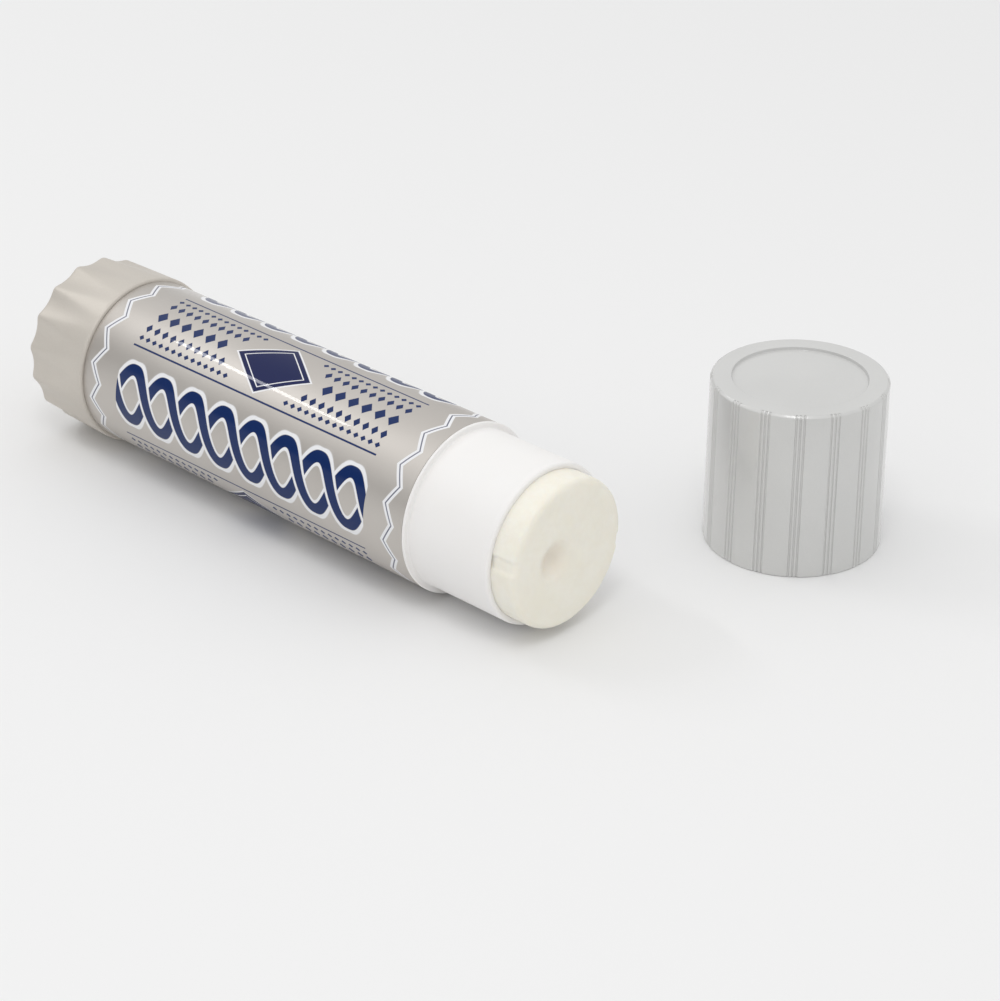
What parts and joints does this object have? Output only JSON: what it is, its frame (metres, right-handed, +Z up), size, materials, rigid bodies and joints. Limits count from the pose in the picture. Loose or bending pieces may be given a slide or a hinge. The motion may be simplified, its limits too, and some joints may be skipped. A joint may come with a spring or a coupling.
{
  "type": "glue stick",
  "caption": "Twist-up glue stick lying on its side: a fluted knob turns a feed screw that slides the glue out of the neck; its pull-off cap stands beside it.",
  "frame": {"origin": "middle of the whole set on the table it lies on", "axes": "+X along the stick from the knob to the glue, +Y from the stick to the side where the cap stands, +Z up"},
  "size_m": [0.1164, 0.0688, 0.026],
  "materials": {
    "barrel_plastic": "white moulded plastic, satin, slightly translucent",
    "label_print": "silver film printed with dark blue and white",
    "knob_plastic": "satin silver-beige pearlescent plastic",
    "inner_plastic": "natural white moulded plastic",
    "glue": "solid off-white glue, waxy, slightly translucent",
    "cap_plastic": "satin silver-grey pearlescent plastic with fine grooves"
  },
  "bodies": {
    "barrel": {"barrel": "barrel_plastic", "label": "label_print"},
    "knob": {"knob": "knob_plastic", "feed_screw": "inner_plastic"},
    "carrier": {"carrier": "inner_plastic", "glue": "glue"},
    "cap": {"cap": "cap_plastic"}
  },
  "joints": [
    {"name": "knob_turn", "type": "hinge", "parent": "barrel", "child": "knob", "pos_m": [-0.0581, -0.0214, 0.01309], "axis": [1, 0, -0.0074], "range_deg": [-468.1, 4410.1]},
    {"name": "glue_feed", "type": "slide", "parent": "barrel", "child": "carrier", "axis": [1, 0, -0.0074], "range_m": [-0.0065, 0.06125]},
    {"name": "cap_lift", "type": "slide", "parent": "barrel", "child": "cap", "axis": [0, 0, 1], "range_m": [0, 0.04]}
  ],
  "couplings": [
    {"joint": "knob_turn", "follows": "glue_feed", "rad_per_m": 1256.6}
  ]
}
